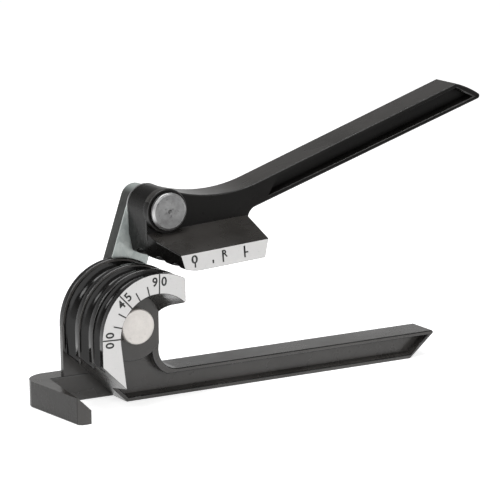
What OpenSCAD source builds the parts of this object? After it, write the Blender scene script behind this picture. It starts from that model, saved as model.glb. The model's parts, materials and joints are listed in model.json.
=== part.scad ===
// Hand tube bender: two cast handles, a link bar between them, three groove sizes.
// Millimetres. X runs towards the handle ends, Y away from the viewer, Z up from the resting face.
// Y = 0 is the middle of the handles. The form axis stands above the origin.

/* [Tube grooves] */

// Tube that the rear groove takes
rear_tube_d = 10; // [9:0.5:10.5]
// Tube that the middle groove takes
mid_tube_d = 8; // [7:0.5:8.5]
// Tube that the front groove takes
front_tube_d = 6; // [4:0.5:6.5]
// Ridge left beside each groove
ridge_w = 2.5; // [2:0.1:3]
// Bend radius, from the form axis to the tube's middle
bend_r = 21.5; // [20.5:0.5:23]

/* [Form head] */

// Height of the form axis above the resting face
axis_z = 27.4; // [26.5:0.2:29]
// Width of the bare face that carries the degree scale
land_w = 7; // [6:0.5:7.5]
// How far the grooves run straight down past the form axis
groove_run = 8.5; // [7:0.5:10]
// Where the nose over the mouth ends at the front
nose_x = 10.5; // [9.8:0.1:12]
// Depth of the pocket behind the bare face
pocket_depth = 19.8; // [19:0.1:20.2]

/* [Handles] */

// Thickness of both handles
handle_t = 13.6; // [12:0.2:15]
// Height of the lower handle
handle_h = 9.4; // [8.5:0.2:11]
// Reach of the lower handle from the form axis to its tip
lower_reach = 124.2; // [100:0.1:180]
// Reach of the upper handle from its pin to its tip
upper_reach = 133; // [100:0.1:180]
// Depth of the long recess in each handle side
recess_depth = 4; // [2:0.2:4.4]
// Rim left round each recess
rim_w = 1.5; // [1.2:0.1:2]

/* [Link] */

// Distance between the two pivot pins
link_len = 41.1; // [40.5:0.1:43]
// Lean of the link from upright, as drawn
link_lean = 19.2; // [18.6:0.1:21]
// Rise of the shoe line from level, as drawn
shoe_tilt = 3.6; // [3:0.1:4.5]
// Width of the link bar
link_w = 14.2; // [13:0.2:15]
// Thickness of the link bar
link_t = 6; // [5:0.2:6.4]

/* [Pivots] */

// Diameter of both pivot pins
pin_d = 8; // [7:0.5:8.5]
// Diameter of the form pin's head
form_head_d = 12.6; // [12:0.1:13]
// Diameter of the handle pin's head
handle_head_d = 13.2; // [12.6:0.1:13.8]

/* [Hidden] */

$fn = 72;
cut = 1;                        // overlap that lets a cut pass a face
run_gap = 0.05;                 // radial play of a pin in its bush
shoe_gap = 0.3;                 // play between the shoe's ridges and the form's, over a tube
bush_wall = 1.2;
washer_t = 0.6;
spring_t = 0.5;
washer_r = pin_d / 2 + 3.4;

// Depths along Y, from the bare face to the back of the link
form_t = rear_tube_d + mid_tube_d + front_tube_d + 4 * ridge_w;
y_back = handle_t / 2;
y_front = -handle_t / 2;
y_land = y_back - form_t;
y_pad = y_land + pocket_depth;
y_link = y_back + washer_t;
y_link_back = y_link + link_t;
y_front_tube = y_land + ridge_w + front_tube_d / 2;
y_mid_tube = y_front_tube + front_tube_d / 2 + ridge_w + mid_tube_d / 2;
y_rear_tube = y_mid_tube + mid_tube_d / 2 + ridge_w + rear_tube_d / 2;
tubes = [[y_front_tube, front_tube_d], [y_mid_tube, mid_tube_d], [y_rear_tube, rear_tube_d]];

// Form head, heights from the form axis
land_r = bend_r - land_w;
pocket_draft = 11;
floor_r = land_r - pocket_depth * tan(pocket_draft);
pad_r = 13;
plate_x = 10.2;
mouth_z = 10.3;
mouth_draft = 14.6;
mouth_r = 7.6;
mouth_rim = 2.6;
nose_rake = 26.5;
leg_lean = 6.2;
heel_x = axis_z - bend_r - groove_run;

// Lower handle and hook, heights from the form axis
z_rest = -axis_z;
z_top = z_rest + handle_h;
hook_y = y_rear_tube + rear_tube_d / 2 + 0.1;
hook_back = y_link_back - 0.2;
hook_in = -bend_r - rear_tube_d / 2 - 0.5;
hook_wide = 6.9;
hook_slim = 3.9;
hook_out_back = hook_in - hook_wide;
hook_out_front = hook_in - hook_slim;
hook_round = 9;
hook_nose = 2.2;
hook_step = 0.8;
hook_rake = atan(hook_slim / (hook_y - y_land));

// Slanting end of the lower handle
end_run = handle_h * 1.19;
end_round = 0.7;
end_rim = 1.65;

// Recesses in both handles
lip_draft = 8;
lip_under = 0.5;                // how far a recess is drawn below its lip

// Upper handle, from its pin, with the shoe line level
link_x = link_len * sin(link_lean);
link_z = link_len * cos(link_lean);
shoe_sink = 1.86;               // the shoe line's drop below the form's rim, with no tube in
shoe_drop = link_len * cos(link_lean + shoe_tilt) - bend_r + shoe_sink;
shoe_left = -5.2;
shoe_right = 29.1;
shoe_flare = 1.8;
shoe_step = 1.5;
end_step = 1.8;
lead_u = 3;
lead_r = 18;
heel_bulge = 0.4;
heel_flare = 2.3;
ledge = 0.4;
scale_h = 6.4;
shoe_slope = 12.5;
shoe_fillet = 0.6;
boss_r = 7.3;
boss_front_r = 7.8;
grip_rise = 14.1;
grip_u = 40;
grip_w = -4;
notch_r = 4.5;
notch_u = shoe_right + shoe_flare + end_step;
saddle_r = 52;
saddle_u = 24.5;
saddle_w = 1.93;
grip_top_rise = 14.8;
tip_cut = 11.3;
tip_r = 36;
tip_round = 1.2;
start_step = 5;

// Upper end of the link
link_corner = 5.2;
link_end = 1;

// Pivot stack
bush_r = pin_d / 2 + bush_wall;
form_face_y = y_pad - spring_t - 3.6;
boss_raise = 2.4;
y_seat = y_front - boss_raise;
handle_face_y = y_seat - spring_t - 1.7;
ring_r = handle_head_d / 2 + 0.9;
rivet_h = 1.6;

// Draws a flat outline in X and Z and gives it thickness from y0 to y1
module slab(y0, y1) {
    translate([0, y1, 0])
        rotate([90, 0, 0])
            linear_extrude(height = y1 - y0)
                children();
}

// What a rounded corner leaves out of an outline: its sides leave the apex at angles a1 and a2
module corner_cut(apex, a1, a2, r) {
    half = (a2 - a1) / 2;
    reach = r / sin(half) - 0.03;
    run = r / tan(half);
    translate(apex)
        rotate(a1)
            difference() {
                polygon([[-1, -1], [run, -1], reach * [cos(half), sin(half)],
                         run * [cos(2 * half), sin(2 * half)] + [-sin(2 * half), cos(2 * half)],
                         [-1, 1]]);
                translate(reach * [cos(half), sin(half)])
                    circle(r = r);
            }
}

// Round bar along Y
module rod(r, y0, y1, r2 = undef) {
    translate([0, y0, 0])
        rotate([-90, 0, 0])
            cylinder(r1 = r, r2 = is_undef(r2) ? r : r2, h = y1 - y0);
}

// Flat ring along Y
module ring(r_out, r_in, y0, y1) {
    difference() {
        rod(r_out, y0, y1);
        rod(r_in, y0 - cut, y1 + cut);
    }
}

module at_form() {
    translate([0, 0, axis_z])
        children();
}

module at_handle_pin() {
    translate([link_x, 0, axis_z + link_z])
        children();
}

// Everything that a tube in the form's grooves would fill
module form_grooves() {
    for (t = tubes) {
        rotate([90, 0, 0])
            rotate_extrude(angle = 180)
                translate([bend_r, -t[0]])
                    circle(d = t[1]);
        translate([-bend_r, t[0], -groove_run - t[1]])
            cylinder(d = t[1], h = groove_run + t[1] + 0.01);
    }
}

// Space behind the bare face: a drafted cone over a drafted, open lower part
module pocket() {
    rod(land_r + cut * tan(pocket_draft), y_land - cut, y_pad, floor_r);
    difference() {
        rotate([0, -leg_lean, 0])
            translate([-land_r, y_land, 0])
                rotate([0, 0, -pocket_draft])
                    translate([0, -10, -60])
                        cube([80, 10 + 60, 60]);
        translate([-60, y_front, -60])
            cube([160, 60, 90]);
        rod(pad_r, y_pad, y_back);
    }
}

// Slanting face under the head, which leaves the tube room; the wall behind the rear groove stays
module under_cut() {
    translate([-bend_r, y_land - cut, -groove_run])
        rotate([0, 45, 0])
            translate([-60, 0, -60])
                cube([120, hook_y - y_land + cut, 60]);
}

// Mouth beside the pivot and the raked end of the nose
module mouth() {
    translate([plate_x, y_land, mouth_z])
        rotate([-mouth_draft, 0, 0])
            translate([0, -20, -80])
                cube([60, 100, 80]);
    translate([nose_x, y_land, 0])
        rotate([0, 0, -nose_rake])
            translate([0, -20, -20])
                cube([60, 80, 60]);
}

module form_head() {
    difference() {
        slab(y_land, y_back) {
            circle(r = bend_r, $fn = 144);
            translate([-bend_r, z_rest])
                square([bend_r + plate_x, axis_z]);
        }
        form_grooves();
        pocket();
        under_cut();
        mouth();
    }
}

// Outline of the lower handle with the fillet into the mouth
module lower_bar_outline() {
    difference() {
        polygon([[heel_x, z_rest], [lower_reach - end_run, z_rest],
                 [lower_reach, z_top], [heel_x, z_top]]);
        corner_cut([lower_reach, z_top], 180, 180 + atan2(handle_h, end_run), end_round);
    }
    difference() {
        translate([plate_x - cut, z_top - cut])
            square([mouth_r + cut, mouth_r + cut]);
        translate([plate_x + mouth_r, z_top + mouth_r])
            circle(r = mouth_r);
    }
}

// What is left standing under a recess: its top slants up from the rim into the handle
module lip(y, side) {
    translate([-20, y, rim_w])
        rotate([side * lip_draft, 0, 0])
            translate([0, -30, -40])
                cube([220, 60, 40]);
}

module lower_recess_outline(x0) {
    z_low = z_rest + rim_w - lip_under;
    x_end = lower_reach - end_rim;
    polygon([[x0, z_low], [x_end - (z_top - z_low) * end_run / handle_h, z_low],
             [x_end - rim_w * end_run / handle_h, z_top - rim_w], [x0, z_top - rim_w]]);
}

// Front recess: it runs on from the handle to the pivot's round pad, inside the slanting rim
module lower_front_recess() {
    x_leg = -9;
    slant = rim_w * sqrt(2) - bend_r - groove_run;
    z_low = z_rest + rim_w - lip_under;
    difference() {
        slab(y_front - cut, y_front + recess_depth) {
            lower_recess_outline(plate_x);
            difference() {
                polygon([[x_leg, slant - x_leg], [slant - z_low, z_low],
                         [plate_x + mouth_r, z_low], [plate_x + mouth_r, z_top - rim_w],
                         [plate_x - mouth_rim, z_top + mouth_r], [x_leg, z_top + mouth_r]]);
                translate([plate_x + mouth_r, z_top + mouth_r])
                    circle(r = mouth_r + mouth_rim);
            }
        }
        rod(pad_r, y_pad, y_back);
        translate([0, 0, z_rest])
            lip(y_front, 1);
    }
}

module lower_back_recess() {
    difference() {
        slab(y_back - recess_depth, y_back + cut)
            lower_recess_outline(plate_x + mouth_r);
        translate([0, 0, z_rest])
            lip(y_back, -1);
    }
}

// Hook that keeps the tube down; its slot is open to the front
module hook() {
    difference() {
        translate([0, 0, z_rest])
            linear_extrude(height = handle_h)
                difference() {
                    polygon([[hook_out_back, hook_back], [hook_out_back, hook_y],
                             [hook_out_front, y_land], [hook_in + hook_step, y_land], [hook_in, hook_y],
                             [-heel_x, hook_y], [-heel_x, hook_back]]);
                    corner_cut([hook_out_front, y_land], 0,
                               atan2(hook_y - y_land, hook_out_back - hook_out_front), hook_nose);
                    difference() {
                        translate([hook_out_back - cut, hook_back - hook_round])
                            square([hook_round + cut, hook_round + cut]);
                        translate([hook_out_back + hook_round, hook_back - hook_round])
                            circle(r = hook_round);
                    }
                }
        intersection() {
            translate([hook_in, hook_y, z_top])
                rotate([0, 0, -hook_rake])
                    rotate([0, 45, 0])
                        translate([0, -60, 0])
                            cube([hook_wide, 120, hook_wide]);
            translate([hook_in - hook_wide, y_land - cut, z_rest])
                cube([2 * hook_wide, hook_y - y_land + cut, 2 * handle_h]);
        }
    }
}

module lower_handle() {
    color([0.10, 0.10, 0.10])
        at_form()
            difference() {
                union() {
                    form_head();
                    slab(y_front, y_back)
                        lower_bar_outline();
                    hook();
                }
                lower_front_recess();
                lower_back_recess();
                rod(bush_r, y_pad - cut, y_back + cut);
            }
}

// Places a flat outline drawn from the handle pin with the shoe line level
module tilted() {
    rotate([0, -shoe_tilt, 0])
        children();
}

// Height of the upper grip's underside and top at a distance along it
function grip_low(u) = grip_w + (u - grip_u) * tan(grip_rise);
function grip_high(u) = saddle_w + saddle_r * (1 - cos(grip_top_rise))
    + (u - saddle_u - saddle_r * sin(grip_top_rise)) * tan(grip_top_rise);

// Left side of the upper casting, from the boss down to the shoe's ridges
heel_side = [[-boss_r, 0], [-boss_r - heel_bulge, -shoe_drop / 2],
             [shoe_left + shoe_step - heel_flare - ledge, -shoe_drop]];

// Round stretch where the shoe's end meets the grip's underside
module notch_fillet() {
    u = notch_u + notch_r - 0.05;
    w = grip_low(u) - notch_r / cos(grip_rise) + 0.05;
    t = u - notch_r * sin(grip_rise);
    difference() {
        polygon([[notch_u - cut, w], [notch_u - cut, grip_low(notch_u) + cut],
                 [t, grip_low(t) + cut], [t, grip_low(t)], [u, w]]);
        translate([u, w])
            circle(r = notch_r);
    }
}

// Bowed end of the grip, from its top down to the tip
module tip_trim() {
    top = [upper_reach - tip_cut, grip_high(upper_reach - tip_cut)];
    tip = [upper_reach, grip_low(upper_reach)];
    half = norm(tip - top) / 2;
    along = (tip - top) / (2 * half);
    middle = (tip + top) / 2 + [along[1], -along[0]] * sqrt(tip_r * tip_r - half * half);
    difference() {
        translate(top - [2, 60])
            square([60, 90]);
        translate(middle)
            circle(r = tip_r, $fn = 144);
    }
    corner_cut(tip, atan2(-along[1], -along[0]) - asin(half / tip_r), 180 + grip_rise, tip_round);
}

module upper_outline() {
    end = upper_reach + 5;
    saddle_end = saddle_u + saddle_r * sin(grip_top_rise);
    circle(r = boss_r);
    difference() {
        polygon(concat(heel_side,
                       [[notch_u - end_step, -shoe_drop], [notch_u, scale_h - shoe_drop],
                        [notch_u, grip_low(notch_u)],
                        [end, grip_low(end)], [end, grip_high(end)],
                        [saddle_end, grip_high(saddle_end)], [0, boss_r]]));
        translate([saddle_u, saddle_w + saddle_r])
            circle(r = saddle_r, $fn = 144);
        tip_trim();
    }
    notch_fillet();
}

module upper_recess_outline() {
    u0 = grip_u + 0.6;
    u1 = upper_reach - rim_w * 2.4;
    u2 = upper_reach - tip_cut - rim_w * 0.2;
    low = rim_w - lip_under;
    u3 = u0 + start_step;
    polygon([[u0, grip_low(u0) + low], [u1, grip_low(u1) + low],
             [u2, grip_high(u2) - rim_w], [u3, grip_high(u3) - rim_w]]);
}

// Long recess in one side of the upper grip
module upper_recess(y0, y1, y_face, side) {
    difference() {
        slab(y0, y1)
            upper_recess_outline();
        translate([grip_u, 0, grip_w])
            rotate([0, -grip_rise, 0])
                lip(y_face, side);
    }
}

// Section of the shoe in front of the handle: scale face, sloping top, round inner corner
module shoe_section() {
    run = y_front - y_land;
    w0 = scale_h - shoe_drop;
    d = run - shoe_fillet + 0.15;
    w = w0 + d * tan(shoe_slope) + shoe_fillet / cos(shoe_slope) - 0.05;
    w1 = w0 + (run + cut) * tan(shoe_slope);
    dt = d + shoe_fillet * sin(shoe_slope);
    wt = w0 + dt * tan(shoe_slope);
    polygon([[0, -shoe_drop], [run + cut, -shoe_drop], [run + cut, w1], [0, w0]]);
    difference() {
        polygon([[dt, wt - cut], [run + cut, wt - cut], [run + cut, w], [d, w], [dt, wt]]);
        translate([d, w])
            circle(r = shoe_fillet);
    }
}

// Shoe: as deep as the form; its left end leans, its right end flares towards the handle
module shoe() {
    difference() {
        intersection() {
            translate([-boss_r, y_land, 0])
                rotate([90, 0, 90])
                    linear_extrude(height = boss_r + notch_u + cut)
                        shoe_section();
            slab(y_land - cut, y_back)
                polygon(concat(heel_side, [[notch_u, -shoe_drop], [notch_u, 0]]));
        }
        translate([shoe_left, y_land, scale_h - shoe_drop])
            rotate([0, 0, atan(heel_flare / (y_front - y_land))])
                rotate([0, -atan(shoe_step / scale_h), 0])
                    translate([-20, -20, -30])
                        cube([20, 60, 60]);
        translate([shoe_right, y_land, scale_h - shoe_drop])
            rotate([0, 0, -atan(shoe_flare / (y_front - y_land))])
                rotate([0, atan(end_step / scale_h), 0])
                    translate([0, -20, -30])
                        cube([20, 60, 60]);
    }
}

// Rounded start of the shoe's ridges, where the tube slides in
module lead_in() {
    slab(y_land - cut, y_back + cut)
        difference() {
            translate([lead_u - lead_r - cut, -shoe_drop - cut])
                square([lead_r + cut, lead_r / 2]);
            translate([lead_u, lead_r - shoe_drop - 0.03])
                circle(r = lead_r, $fn = 144);
        }
}

module upper_handle() {
    color([0.08, 0.08, 0.08])
        at_handle_pin()
            tilted()
                difference() {
                    union() {
                        slab(y_front, y_back)
                            upper_outline();
                        rod(boss_front_r, y_seat, y_front + cut);
                        shoe();
                    }
                    for (t = tubes)
                        translate([shoe_left - 6, t[0], -shoe_drop - shoe_gap])
                            rotate([0, 90, 0])
                                cylinder(d = t[1], h = 60);
                    lead_in();
                    rod(ring_r, y_land - cut, y_seat);
                    rod(bush_r, y_seat - cut, y_back + cut);
                    upper_recess(y_front - cut, y_front + recess_depth, y_front, 1);
                    upper_recess(y_back - recess_depth, y_back + cut, y_back, -1);
                }
}

// Bar from the form pin to the handle pin, behind both castings
module link_bar() {
    color([0.72, 0.75, 0.72])
        at_form()
            rotate([0, link_lean, 0])
                difference() {
                    slab(y_link, y_link_back) {
                        circle(d = link_w);
                        translate([-link_w / 2, 0])
                            square([link_w, link_len + link_end]);
                        for (side = [-1, 1])
                            translate([side * (link_w / 2 - link_corner), link_len + link_end])
                                circle(r = link_corner);
                        translate([link_corner - link_w / 2, link_len])
                            square([link_w - 2 * link_corner, link_end + link_corner]);
                    }
                    for (z = [0, link_len])
                        translate([0, 0, z])
                            rod(pin_d / 2, y_link - cut, y_link_back + cut);
                }
}

// Pivot pin: turned head, shank through the bush, end riveted over behind the link
module pin(head_d, chamfer, face_y, seat_y) {
    rod(head_d / 2 - chamfer, face_y, face_y + chamfer * 0.7, head_d / 2);
    rod(head_d / 2, face_y + chamfer * 0.7, seat_y);
    rod(pin_d / 2, seat_y - cut, y_link_back + 0.1);
    rod(pin_d / 2 + 1.6, y_link_back, y_link_back + rivet_h, pin_d / 2);
}

module form_pin() {
    color([0.85, 0.82, 0.80])
        at_form()
            pin(form_head_d, 0.4, form_face_y, y_pad - spring_t);
}

module handle_pin() {
    color([0.55, 0.55, 0.55])
        at_handle_pin()
            difference() {
                pin(handle_head_d, 0.8, handle_face_y, y_seat - spring_t);
                rod(0.8, handle_face_y - 0.01, handle_face_y + 0.6, 0.1);
            }
}

module form_bush() {
    color([0.72, 0.55, 0.30])
        at_form()
            ring(bush_r, pin_d / 2 + run_gap, y_pad, y_back);
}

module handle_bush() {
    color([0.72, 0.55, 0.30])
        at_handle_pin()
            ring(bush_r, pin_d / 2 + run_gap, y_seat, y_back);
}

module form_thrust_washer() {
    color([0.6, 0.6, 0.62])
        at_form()
            ring(washer_r, pin_d / 2, y_back, y_link);
}

module handle_thrust_washer() {
    color([0.6, 0.6, 0.62])
        at_handle_pin()
            ring(washer_r, pin_d / 2, y_back, y_link);
}

module form_spring_washer() {
    color([0.5, 0.5, 0.52])
        at_form()
            ring(form_head_d / 2 - 0.5, pin_d / 2, y_pad - spring_t, y_pad);
}

module handle_spring_washer() {
    color([0.5, 0.5, 0.52])
        at_handle_pin()
            ring(handle_head_d / 2 - 0.5, pin_d / 2, y_seat - spring_t, y_seat);
}

lower_handle();
upper_handle();
link_bar();
form_pin();
handle_pin();
form_bush();
handle_bush();
form_thrust_washer();
handle_thrust_washer();
form_spring_washer();
handle_spring_washer();
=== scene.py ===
import json
import math

import bmesh
import bpy
from mathutils import Matrix, Vector
from mathutils.bvhtree import BVHTree


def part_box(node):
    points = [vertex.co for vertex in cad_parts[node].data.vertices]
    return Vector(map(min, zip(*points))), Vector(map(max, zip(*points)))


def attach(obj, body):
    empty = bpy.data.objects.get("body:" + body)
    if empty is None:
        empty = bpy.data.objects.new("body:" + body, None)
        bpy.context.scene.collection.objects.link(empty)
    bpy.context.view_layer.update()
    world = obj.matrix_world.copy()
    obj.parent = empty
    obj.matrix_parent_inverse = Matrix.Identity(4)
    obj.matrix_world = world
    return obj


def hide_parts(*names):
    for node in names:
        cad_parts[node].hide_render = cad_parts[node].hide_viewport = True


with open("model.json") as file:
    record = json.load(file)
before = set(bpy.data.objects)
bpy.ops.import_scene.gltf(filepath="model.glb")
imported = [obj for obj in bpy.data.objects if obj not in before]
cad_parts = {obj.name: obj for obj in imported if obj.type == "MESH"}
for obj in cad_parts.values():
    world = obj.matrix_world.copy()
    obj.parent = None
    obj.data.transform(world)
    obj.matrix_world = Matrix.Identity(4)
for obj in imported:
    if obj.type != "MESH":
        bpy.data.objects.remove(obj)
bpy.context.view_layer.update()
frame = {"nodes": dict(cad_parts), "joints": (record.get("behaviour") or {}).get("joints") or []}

MM = 0.001
JOINT = {joint["name"]: Vector(joint["pos_m"]) for joint in frame["joints"]}
FORM_AXIS = JOINT["link_swing"]
HANDLE_AXIS = JOINT["handle_swing"]
LAND_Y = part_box("lower_handle")[0].y

# Sizes of the solids that the finishes and marks follow
SHOE_TILT = math.radians(3.6)
LINK_LEAN = math.radians(19.2)
GRIP_THICK = 13.6 * MM
SHOE_DEPTH = 17 * MM
LAND_LEFT = -22.3 * MM
FORM_INSIDE, FORM_OUTSIDE = 15.5 * MM, 22 * MM
FORM_FOOT = -8.6 * MM
HOOK_ROOT, HOOK_SIDE = -22 * MM, -24 * MM
HOOK_SLOPE, HOOK_TOP = 4.6 * MM, 9.6 * MM
PIN_FLAT = 5 * MM
BOSS_REACH, BOSS_FRONT = 9 * MM, -6.8 * MM
RECESS_FROM, RECESS_TO = 50 * MM, 70 * MM
# Along the link, where its rim starts and ends turning to the light zinc colour: painted light at
# the top end
PAINTED_LIGHT_START, PAINTED_LIGHT_FULL = 42.8 * MM, 46.8 * MM

# How a solid is merged and its edges rounded
MERGE_WITHIN = 0.002 * MM
FLAT_WITHIN = math.radians(0.4)
ROUND_ABOVE = math.radians(50)
CREASE_ABOVE = math.radians(26)
CRISP_SHARE = 0.3
CASTING_ROUND = 0.40 * MM

# Marks
MARK_THICK = 0.08 * MM
MARK_BOLD = 0.10 * MM
CAP_SHARE = 0.7

# Camera: azimuth, elevation and roll in degrees, place in metres, lens in mm
CAMERA_TURN = (28.760, 11.693, -1.094)
CAMERA_PLACE = (-0.46641, -0.94242, 0.26906)
CAMERA_LENS = 222.97


def place_camera():
    azimuth, elevation, roll = (math.radians(angle) for angle in CAMERA_TURN)
    back = Vector((-math.sin(azimuth) * math.cos(elevation),
                   -math.cos(azimuth) * math.cos(elevation), math.sin(elevation)))
    level = Vector((math.cos(azimuth), -math.sin(azimuth), 0))
    upright = back.cross(level)
    right = math.cos(roll) * level + math.sin(roll) * upright
    up = math.cos(roll) * upright - math.sin(roll) * level
    data = bpy.data.cameras.new("camera")
    data.sensor_width = 36
    data.lens = CAMERA_LENS
    data.clip_start = 0.05
    data.clip_end = 20
    camera = bpy.data.objects.new("camera", data)
    turn = Matrix((right, up, back)).transposed().to_4x4()
    camera.matrix_world = Matrix.Translation(Vector(CAMERA_PLACE)) @ turn
    bpy.context.scene.collection.objects.link(camera)
    bpy.context.scene.camera = camera


place_camera()


# Shader sums

class Sock:
    """A shader output that takes part in Python sums."""

    def __init__(self, tree, out):
        self.tree = tree
        self.out = out

    def node(self, kind, settings, sockets, output=0):
        """Any other node: its settings are set first, then the values or links of its sockets."""
        node = self.tree.nodes.new(kind)
        for key, value in settings.items():
            setattr(node, key, value)
        for key, value in sockets.items():
            if isinstance(value, Sock):
                self.tree.links.new(value.out, node.inputs[key])
            else:
                node.inputs[key].default_value = value
        return Sock(self.tree, node.outputs[output])

    def beside(self, output):
        """Another output of the same node."""
        return Sock(self.tree, self.out.node.outputs[output])

    def maths(self, operation, a, b):
        return self.node("ShaderNodeMath", {"operation": operation}, {0: a, 1: b})

    def __add__(self, other):
        return self.maths("ADD", self, other)

    def __radd__(self, other):
        return self.maths("ADD", other, self)

    def __sub__(self, other):
        return self.maths("SUBTRACT", self, other)

    def __rsub__(self, other):
        return self.maths("SUBTRACT", other, self)

    def __mul__(self, other):
        return self.maths("MULTIPLY", self, other)

    def __rmul__(self, other):
        return self.maths("MULTIPLY", other, self)

    def __pow__(self, other):
        return self.maths("POWER", self, other)

    def sine(self):
        return self.maths("SINE", self, 0)

    def step(self, low, high):
        """0 below low, 1 above high, smooth between."""
        return self.node("ShaderNodeMapRange", {"interpolation_type": "SMOOTHSTEP"},
                         {"Value": self, "From Min": low, "From Max": high})

    def noise(self, scale, detail, rough):
        return self.node("ShaderNodeTexNoise", {},
                         {"Vector": self, "Scale": scale, "Detail": detail, "Roughness": rough})

    def stretched(self, factors, turn=(0, 0, 0)):
        return self.node("ShaderNodeMapping", {},
                         {"Vector": self, "Rotation": turn, "Scale": factors})

    def mix(self, first, second):
        """From the first colour to the second as this value goes from 0 to 1."""
        return self.node("ShaderNodeMix", {"data_type": "RGBA"}, {0: self, 6: first, 7: second}, 2)

    def bump(self, strength, depth):
        return self.node("ShaderNodeBump", {},
                         {"Height": self, "Strength": strength, "Distance": depth})


def finish_start(name):
    """A new material: the object coordinates and the surface shader."""
    material = bpy.data.materials.new(name)
    material.use_nodes = True
    tree = material.node_tree
    surface = tree.nodes["Principled BSDF"]
    start = Sock(tree, surface.outputs[0])
    return material, start.node("ShaderNodeTexCoord", {}, {}, "Object"), surface


def feed(surface, sockets):
    for key, value in sockets.items():
        if isinstance(value, Sock):
            value.tree.links.new(value.out, surface.inputs[key])
        else:
            surface.inputs[key].default_value = value


def grey(level, warm=0.0):
    return (level * (1 + warm), level, level * (1 - warm), 1)


# Finishes

def black_paint(name, sheen, wear=0.0, shade=0.008, rough=0.20):
    """Satin black stove paint over a cast skin; wear shows the grey undercoat."""
    material, place, surface = finish_start(name)
    skin = place.noise(900, 4, 0.6)
    peel = place.noise(260, 2, 0.5)
    smear = place.noise(38, 4, 0.6)
    rub = place.noise(420, 5, 0.7)
    handled = smear.step(0.35, 0.7)
    first_wear = 0.62 - 0.16 * wear
    full_wear = 0.74 - 0.16 * wear
    worn = (rub * 0.6 + smear * 0.4).step(first_wear, full_wear) * (0.12 + 0.75 * wear)
    tone = handled.mix(grey(0.75 * shade, 0.08), grey(1.25 * shade, 0.06))
    feed(surface, {
        "Base Color": worn.mix(tone, grey(0.16, 0.02)),
        "Roughness": rough + 0.10 * handled + 0.06 * peel + 0.14 * worn,
        "Normal": (skin * 0.45 + peel).bump(0.16, 0.00025),
        "Specular IOR Level": sheen,
    })
    return material


def bare_casting():
    """Light metal face, ground flat, with fine straight grinding marks."""
    material, place, surface = finish_start("bare_casting")
    lines = place.stretched((40, 1, 900)).noise(3.0, 5, 0.65)
    cloud = place.noise(70, 4, 0.6)
    pits = place.noise(1300, 2, 0.5).step(0.68, 0.76)
    tone = (0.6 * cloud + 0.4 * lines).mix(grey(0.50, 0.01), grey(0.64, 0.01))
    feed(surface, {
        "Base Color": (pits * 0.35).mix(tone, grey(0.30)),
        "Metallic": 0.35,
        "Roughness": 0.42 + 0.16 * lines,
        "Normal": (lines - pits * 0.5).bump(0.10, 0.0001),
    })
    return material


def zinc_plate():
    """Bright zinc with the faint green of its passivation, streaked by rolling."""
    material, place, surface = finish_start("zinc_plate")
    streak = place.stretched((260, 1, 26), (0, -LINK_LEAN, 0)).noise(2.2, 5, 0.62)
    cloud = place.noise(110, 4, 0.6)
    spangle = place.node("ShaderNodeTexVoronoi", {}, {"Vector": place, "Scale": 520.0}, "Color")
    fleck = spangle.node("ShaderNodeSeparateColor", {}, {"Color": spangle}, 0)
    tone = (0.45 * streak + 0.35 * cloud + 0.2 * fleck).step(0.25, 0.75)
    feed(surface, {
        "Base Color": tone.mix((0.53, 0.585, 0.57, 1), (0.77, 0.815, 0.79, 1)),
        "Metallic": 0.55,
        "Roughness": 0.34 + 0.18 * cloud + 0.10 * fleck,
        "Normal": (streak + 0.3 * fleck).bump(0.12, 0.0001),
    })
    return material


def sheared_edge_painted_light():
    """Cut edge of the link plate: drawn along the shear and dark, partly as painted shade; towards
    the top end, where the rim faces up, it turns to the zinc colour as painted light.
    """
    material, place, surface = finish_start("sheared_edge_painted_light")
    drawn = place.stretched((30, 700, 30)).noise(1.6, 4, 0.6)
    cloud = place.noise(160, 4, 0.6)
    aim = place.node("ShaderNodeVectorMath", {"operation": "DOT_PRODUCT"},
                     {0: place, 1: (math.sin(LINK_LEAN), 0, math.cos(LINK_LEAN))}, "Value")
    along = aim - FORM_AXIS.z * math.cos(LINK_LEAN)
    # Dark colour of the cut rim: partly the bare cut edge, partly painted shade
    cut_and_shade = (0.5 * drawn + 0.5 * cloud).step(0.3, 0.7).mix(grey(0.035), (0.08, 0.085, 0.08, 1))
    feed(surface, {
        # Towards the top end the rim turns light: painted light where it faces up
        "Base Color": along.step(PAINTED_LIGHT_START, PAINTED_LIGHT_FULL).mix(cut_and_shade, (0.40, 0.44, 0.425, 1)),
        "Metallic": 0.55,
        "Roughness": 0.5 + 0.2 * drawn,
        "Normal": drawn.bump(0.25, 0.0001),
    })
    return material


def turned_steel(name, axis, dark, light, metallic, mottled):
    """Steel turned round its own axis: fine rings, and the mottling of its plating."""
    material, place, surface = finish_start(name)
    centred = place.node("ShaderNodeMapping", {},
                         {"Vector": place, "Location": (-axis.x, -axis.y, -axis.z)})
    across = centred.node("ShaderNodeSeparateXYZ", {}, {"Vector": centred}, "X")
    up = across.beside("Z")
    reach = (across * across + up * up) ** 0.5
    rings = (reach * 16000).sine()
    blot = place.noise(520, 4, 0.65)
    cloud = place.noise(150, 3, 0.55)
    spots = place.noise(900, 3, 0.6).step(0.60, 0.72) * mottled
    tone = (0.6 * cloud + 0.4 * blot).step(0.3, 0.7).mix(dark, light)
    feed(surface, {
        "Base Color": spots.mix(tone, grey(0.06)),
        "Metallic": metallic,
        "Roughness": 0.30 + 0.14 * blot + 0.12 * spots,
        "Normal": (rings * 0.35 + blot).bump(0.10, 0.0001),
    })
    return material


def plain_metal(name, dark, light, rough):
    """Small hidden pieces: pressed or sintered metal with a fine grain."""
    material, place, surface = finish_start(name)
    grain = place.noise(1500, 4, 0.6)
    cloud = place.noise(180, 3, 0.5)
    feed(surface, {
        "Base Color": (0.5 * grain + 0.5 * cloud).mix(dark, light),
        "Metallic": 0.9,
        "Roughness": rough + 0.15 * cloud,
        "Normal": grain.bump(0.12, 0.0001),
    })
    return material


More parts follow.
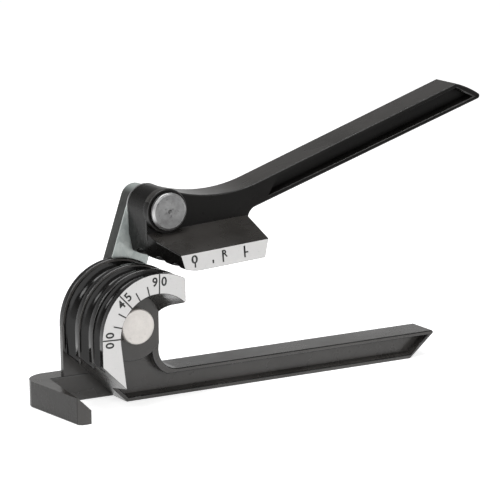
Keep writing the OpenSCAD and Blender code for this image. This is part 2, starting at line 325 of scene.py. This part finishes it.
def mark_ink():
    """Black fill of the stamped marks, thin in places."""
    material, place, surface = finish_start("mark_ink")
    patch = place.noise(1500, 4, 0.65)
    feed(surface, {
        "Base Color": patch.step(0.58, 0.8).mix(grey(0.010), grey(0.055)),
        "Roughness": 0.55 + 0.2 * patch,
        "Normal": patch.bump(0.2, 0.00005),
    })
    return material


LOWER_PAINT = black_paint("lower_paint", sheen=0.50, shade=0.042)
# Glossier copy of the lower paint for the tube-polished grooves; its darker colour is painted
# shade
GROOVE_POLISH_AND_SHADE_PAINT = black_paint("groove_polish_and_painted_shade", sheen=0.34, shade=0.003, rough=0.08)
# Darker, less glossy copy of the lower paint for the hook's outer side: painted shade
HOOK_SIDE_SHADE_PAINT = black_paint("hook_side_painted_shade", sheen=0.20, shade=0.024)
LOWER_EDGE = black_paint("lower_paint_edge", sheen=0.80, wear=0.35, rough=0.12)
UPPER_PAINT = black_paint("upper_paint", sheen=0.09, shade=0.006)
# Lighter copy of the upper paint for the faces that face up: painted light
GRIP_TOP_LIT_PAINT = black_paint("grip_top_painted_light", sheen=0.22, shade=0.030)
# Lighter copy of the upper paint for the slope that faces up: painted light
SHOE_TOP_LIT_PAINT = black_paint("shoe_top_painted_light", sheen=0.18, shade=0.010)
UPPER_EDGE = black_paint("upper_paint_edge", sheen=0.55, wear=0.35)
BARE = bare_casting()
ZINC = zinc_plate()
SHEARED_RIM_PAINTED_LIGHT = sheared_edge_painted_light()
HANDLE_STEEL = turned_steel("handle_pin_steel", HANDLE_AXIS, grey(0.12), grey(0.24), 0.9, 0.8)
RIM_STEEL = turned_steel("handle_pin_rim", HANDLE_AXIS, grey(0.32), grey(0.52), 0.9, 0.4)
FORM_STEEL = turned_steel("form_pin_steel", FORM_AXIS, grey(0.60, 0.05), grey(0.72, 0.05),
                          0.35, 0.12)
BRONZE = plain_metal("bush_bronze", (0.42, 0.28, 0.12, 1), (0.62, 0.45, 0.22, 1), 0.35)
WASHER = plain_metal("washer_steel", grey(0.35), grey(0.55), 0.32)
INK = mark_ink()


# Castings and bars with rounded edges

def depth_of(face):
    """How far a face reaches from front to back."""
    depths = [vert.co.y for vert in face.verts]
    return max(depths) - min(depths)


def is_land(face):
    """The ground face in front, without the hook's end."""
    middle = face.calc_center_median()
    return (face.normal.y < -0.999 and abs(middle.y - LAND_Y) < 0.02 * MM
            and middle.x > LAND_LEFT)


def is_groove_polish_and_shade(face):
    """The form's outside, polished by the tubes that are drawn round it; its darker copy of the
    paint is painted shade.
    """
    out = face.calc_center_median() - FORM_AXIS
    away = Vector((out.x, 0, max(out.z, 0)))
    return (abs(face.normal.y) < 0.98 and FORM_INSIDE < away.length < FORM_OUTSIDE
            and out.z > FORM_FOOT and face.normal.dot(away) > -0.3 * away.length)


def is_shaded_hook_side(face):
    """The hook's flat outer side, which gets a darker copy of the paint as painted shade."""
    return face.normal.x < -0.9 and face.calc_center_median().x < HOOK_SIDE


def on_hook_top(edge):
    """An edge of the hook's top or of the slope down to its slot."""
    return all(vert.co.x < HOOK_ROOT and HOOK_SLOPE < vert.co.z < HOOK_TOP
               for vert in edge.verts)


def is_turned_rim(face):
    """The cone and side of the handle pin's head."""
    out = face.calc_center_median() - HANDLE_AXIS
    return abs(face.normal.y) < 0.95 and math.hypot(out.x, out.z) > PIN_FLAT


def is_lit_grip_top(face):
    """The upper handle's top and the rim of its boss, which get a lighter copy of the paint as
    painted light.
    """
    middle = face.calc_center_median()
    out = middle - HANDLE_AXIS
    boss = math.hypot(out.x, out.z) < BOSS_REACH and middle.y < BOSS_FRONT
    return face.normal.z > 0.5 and (boss or abs(depth_of(face) - GRIP_THICK) < 0.1 * MM)


def is_lit_shoe_top(face):
    """The slope from the upper handle down to the shoe's scale, which gets a lighter copy of the
    paint as painted light.
    """
    return face.normal.z > 0.8 and depth_of(face) > SHOE_DEPTH


def ends_recess(edge):
    """An edge of the wall where the upper recess begins."""
    return any(face.normal.x > 0.7 and RECESS_FROM < face.calc_center_median().x < RECESS_TO
               for face in edge.link_faces)


def is_rim(face):
    """A narrow side of the link plate."""
    return abs(face.normal.y) < 0.5


def torn_spots(piece, solid, radius):
    """Places where the rounding has pulled a point away from the solid's own surface."""
    graph = bpy.context.evaluated_depsgraph_get()
    shown = piece.evaluated_get(graph)
    bm = bmesh.new()
    bm.from_mesh(shown.to_mesh())
    spots = []
    for vert in bm.verts:
        near, _, _, gap = solid.find_nearest(vert.co)
        if gap > 0.6 * radius:
            spots.append(near)
            spots.extend(edge.other_vert(vert).co.copy() for edge in vert.link_edges
                         if edge.calc_length() < 5 * radius)
    bm.free()
    shown.to_mesh_clear()
    return spots


def leave_sharp(mesh, spots, reach):
    """Takes the rounding off the edges beside these spots."""
    weights = mesh.attributes["bevel_weight_edge"].data
    for edge in mesh.edges:
        ends = [mesh.vertices[i].co for i in edge.vertices]
        if any((end - spot).length < reach for end in ends for spot in spots):
            edge.use_edge_sharp = edge.use_edge_sharp or weights[edge.index].value > 0
            weights[edge.index].value = 0.0


def rounded(node, name, radius, materials, bare_face, sharp_edge, others):
    """A merged copy of a solid with its sharp edges rounded; edges of bare faces stay crisp."""
    mesh = bpy.data.meshes.new(name)
    bm = bmesh.new()
    bm.from_mesh(frame["nodes"][node].data)
    bmesh.ops.remove_doubles(bm, verts=bm.verts, dist=MERGE_WITHIN)
    bmesh.ops.dissolve_limit(bm, angle_limit=FLAT_WITHIN, use_dissolve_boundaries=False,
                             verts=bm.verts, edges=bm.edges)
    bm.normal_update()
    solid = BVHTree.FromBMesh(bm)
    weight = bm.edges.layers.float.new("bevel_weight_edge")
    for face in bm.faces:
        face.smooth = True
        face.material_index = 1 if bare_face and bare_face(face) else 0
        for index, chosen in enumerate(others, 2):
            if face.material_index == 0 and chosen(face):
                face.material_index = index
    for edge in bm.edges:
        angle = edge.calc_face_angle(0)
        if angle > ROUND_ABOVE and edge.is_convex and not (sharp_edge and sharp_edge(edge)):
            crisp = any(face.material_index == 1 for face in edge.link_faces)
            edge[weight] = CRISP_SHARE if crisp else 1.0
        elif angle > CREASE_ABOVE:
            edge.smooth = False
    bm.to_mesh(mesh)
    bm.free()
    for material in materials:
        mesh.materials.append(material)
    piece = bpy.data.objects.new(name, mesh)
    bpy.context.scene.collection.objects.link(piece)
    edge_round = piece.modifiers.new("edge_round", "BEVEL")
    edge_round.limit_method = "WEIGHT"
    edge_round.width = radius
    edge_round.segments = 2
    edge_round.profile = 0.5
    edge_round.use_clamp_overlap = False
    edge_round.material = len(materials) - 1
    edge_round.miter_outer = "MITER_ARC"
    for _ in range(4):
        spots = torn_spots(piece, solid, radius)
        if not spots:
            break
        leave_sharp(mesh, spots, 1.5 * radius)
        mesh.update_tag()
        bpy.context.view_layer.update()
    shade = piece.modifiers.new("even_shade", "WEIGHTED_NORMAL")
    shade.keep_sharp = True
    return piece


def dress(node, name, body, radius, materials, bare_face=None, sharp_edge=None, others=()):
    """Puts a rounded piece in a solid's place; the last material is the rounded edges'."""
    piece = rounded(node, name, radius, materials, bare_face, sharp_edge, others)
    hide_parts(node)
    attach(piece, body)


dress("lower_handle", "lower_casting", "lower_handle", CASTING_ROUND,
      [LOWER_PAINT, BARE, GROOVE_POLISH_AND_SHADE_PAINT, HOOK_SIDE_SHADE_PAINT, LOWER_EDGE], is_land, on_hook_top,
      (is_groove_polish_and_shade, is_shaded_hook_side))
dress("upper_handle", "upper_casting", "upper_handle", CASTING_ROUND,
      [UPPER_PAINT, BARE, GRIP_TOP_LIT_PAINT, SHOE_TOP_LIT_PAINT, UPPER_EDGE], is_land, ends_recess,
      (is_lit_grip_top, is_lit_shoe_top))
dress("link_bar", "link_plate", "link", 0.5 * MM, [ZINC, SHEARED_RIM_PAINTED_LIGHT, ZINC], is_rim)
dress("form_pin", "form_pivot", "link", 0.2 * MM, [FORM_STEEL])
dress("handle_pin", "handle_pivot", "link", 0.25 * MM,
      [HANDLE_STEEL, RIM_STEEL, RIM_STEEL], is_turned_rim)

for node, material in (("form_bush", BRONZE), ("handle_bush", BRONZE),
                       ("form_thrust_washer", WASHER), ("handle_thrust_washer", WASHER),
                       ("form_spring_washer", WASHER), ("handle_spring_washer", WASHER)):
    solid = frame["nodes"][node]
    solid.data.materials.clear()
    solid.data.materials.append(material)


# Stamped marks

def to_face(pivot, tilt, along, up, turn):
    """Places a flat mark on a front face: along and up in the face, from the pivot."""
    lift = Matrix.Translation(Vector((pivot.x, LAND_Y, pivot.z)))
    face = Matrix.Rotation(-tilt, 4, "Y")
    spot = Matrix.Translation(Vector((along, 0, up)))
    spin = Matrix.Rotation(turn, 4, "Y")
    stand = Matrix.Rotation(math.radians(90), 4, "X")
    return lift @ face @ spot @ spin @ stand


def character(text, height, broad=1.0):
    """One stamped character as a thin solid, centred on its own middle."""
    data = bpy.data.curves.new("stamp", "FONT")
    data.body = text
    data.size = height / CAP_SHARE
    data.extrude = MARK_THICK / 2
    data.offset = MARK_BOLD
    data.resolution_u = 6
    maker = bpy.data.objects.new("stamp", data)
    bpy.context.scene.collection.objects.link(maker)
    bpy.context.view_layer.update()
    graph = bpy.context.evaluated_depsgraph_get()
    mesh = bpy.data.meshes.new_from_object(maker.evaluated_get(graph))
    bpy.data.objects.remove(maker)
    bm = bmesh.new()
    bm.from_mesh(mesh)
    xs = [vert.co.x for vert in bm.verts]
    ys = [vert.co.y for vert in bm.verts]
    middle = Vector(((min(xs) + max(xs)) / 2, (min(ys) + max(ys)) / 2, 0))
    bmesh.ops.translate(bm, verts=bm.verts, vec=-middle)
    bmesh.ops.scale(bm, verts=bm.verts, vec=(broad, 1, 1))
    bpy.data.meshes.remove(mesh)
    return bm


def stroke(width, length):
    """One straight tick as a thin bar, centred on its own middle."""
    bm = bmesh.new()
    bmesh.ops.create_cube(bm, size=1)
    bmesh.ops.scale(bm, verts=bm.verts, vec=(width, length, MARK_THICK))
    return bm


def add_marks(name, body, shapes):
    """Joins placed marks into one piece."""
    whole = bmesh.new()
    for bm, place in shapes:
        part = bpy.data.meshes.new("part")
        bmesh.ops.transform(bm, matrix=place, verts=bm.verts)
        bm.to_mesh(part)
        bm.free()
        whole.from_mesh(part)
        bpy.data.meshes.remove(part)
    bmesh.ops.remove_doubles(whole, verts=whole.verts, dist=0.0005 * MM)
    bmesh.ops.recalc_face_normals(whole, faces=whole.faces)
    mesh = bpy.data.meshes.new(name)
    whole.to_mesh(mesh)
    whole.free()
    mesh.materials.append(INK)
    piece = bpy.data.objects.new(name, mesh)
    bpy.context.scene.collection.objects.link(piece)
    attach(piece, body)


def degree_marks():
    """The form's scale: a tick every 15 degrees, long ones with digits every 45."""
    shapes = []
    inner, outer, short_tick = 14.6 * MM, 21.3 * MM, 3.3 * MM
    digit_ring, digit_aside, digit_height = 18.7 * MM, 1.75 * MM, 3.0 * MM
    lag = math.radians(2.0)

    def at(degrees, radius, beside=0.0):
        angle = math.radians(degrees) + lag
        out = Vector((-math.cos(angle), math.sin(angle)))
        side = Vector((out.y, -out.x))
        spot = out * radius + side * beside
        return to_face(FORM_AXIS, 0.0, spot.x, spot.y, angle - math.radians(90))

    for degrees in range(0, 91, 15):
        top = outer if degrees % 45 == 0 else inner + short_tick
        shapes.append((stroke(0.46 * MM, top - inner), at(degrees, (inner + top) / 2)))
    for degrees, left, right in ((0, "0", "0"), (45, "4", "5"), (90, "9", "0")):
        for digit, beside in ((left, -digit_aside), (right, digit_aside)):
            shapes.append((character(digit, digit_height), at(degrees, digit_ring, beside)))
    add_marks("degree_marks", "lower_handle", shapes)


def shoe_marks():
    """The shoe's index marks, placed in mm along and down from the top of its scale."""
    top = -11.8 * MM

    def at(along, down):
        return to_face(HANDLE_AXIS, SHOE_TILT, along * MM, top - down * MM, 0.0)

    add_marks("shoe_marks", "upper_handle", [
        (character("0", 2.7 * MM, 1.3), at(-0.1, 2.2)),
        (stroke(0.55 * MM, 1.6 * MM), at(0.0, 4.3)),
        (stroke(0.60 * MM, 1.2 * MM), at(7.0, 4.2)),
        (character("R", 2.4 * MM), at(11.7, 2.2)),
        (stroke(0.60 * MM, 4.2 * MM), at(10.9, 3.0)),
        (character("L", 2.4 * MM), at(20.0, 2.2)),
        (stroke(0.60 * MM, 4.0 * MM), at(19.4, 3.0)),
    ])


degree_marks()
shoe_marks()


# Floor, light and background

def seen_rays(start):
    """1 for what the camera sees, straight, mirrored or through glass."""
    straight = start.node("ShaderNodeLightPath", {}, {}, "Is Camera Ray")
    return straight + straight.beside("Is Glossy Ray") + straight.beside("Is Transmission Ray")


def floor():
    """White paper that keeps the tool's shadow."""
    material = bpy.data.materials.new("floor")
    material.use_nodes = True
    tree = material.node_tree
    surface = tree.nodes["Principled BSDF"]
    feed(surface, {"Base Color": grey(0.85), "Roughness": 0.9, "Specular IOR Level": 0.0})
    start = Sock(tree, surface.outputs[0])
    glow = start.node("ShaderNodeEmission", {}, {"Color": grey(1.0), "Strength": 0.7})
    lit = start.node("ShaderNodeAddShader", {}, {0: start, 1: glow})
    seen = start.node("ShaderNodeMixShader", {}, {0: seen_rays(start), 1: start, 2: lit})
    tree.links.new(seen.out, tree.nodes["Material Output"].inputs["Surface"])
    bm = bmesh.new()
    bmesh.ops.create_grid(bm, x_segments=2, y_segments=2, size=3.0)
    mesh = bpy.data.meshes.new("floor")
    bm.to_mesh(mesh)
    bm.free()
    mesh.materials.append(material)
    piece = bpy.data.objects.new("floor", mesh)
    bpy.context.scene.collection.objects.link(piece)


def softbox(name, place, aim, size, power):
    data = bpy.data.lights.new(name, "AREA")
    data.shape = "RECTANGLE"
    data.size, data.size_y = size
    data.energy = power
    light = bpy.data.objects.new(name, data)
    light.location = place
    light.rotation_euler = (Vector(aim) - Vector(place)).to_track_quat("-Z", "Y").to_euler()
    bpy.context.scene.collection.objects.link(light)


def sky():
    """Studio sweep: white round the horizon, darker towards the ceiling."""
    world = bpy.data.worlds.new("sky")
    bpy.context.scene.world = world
    world.use_nodes = True
    tree = world.node_tree
    room = tree.nodes["Background"]
    start = Sock(tree, room.outputs[0])
    ray = start.node("ShaderNodeTexCoord", {}, {}, "Generated")
    rise = ray.node("ShaderNodeSeparateXYZ", {}, {"Vector": ray}, "Z")
    feed(room, {"Color": rise.step(0.0, 0.44).mix(grey(1.0), grey(0.26)), "Strength": 1.0})


floor()
sky()
softbox("top_box", (0.02, -0.12, 0.72), (0.03, 0, 0.03), (0.5, 0.3), 3.2)
softbox("left_box", (-0.55, -0.35, 0.6), (0.02, 0, 0.04), (0.25, 0.25), 1.2)
softbox("front_box", (-0.1, -1.2, 0.5), (0.04, 0, 0.04), (1.3, 0.9), 5.0)

bpy.context.scene.view_settings.view_transform = "Standard"
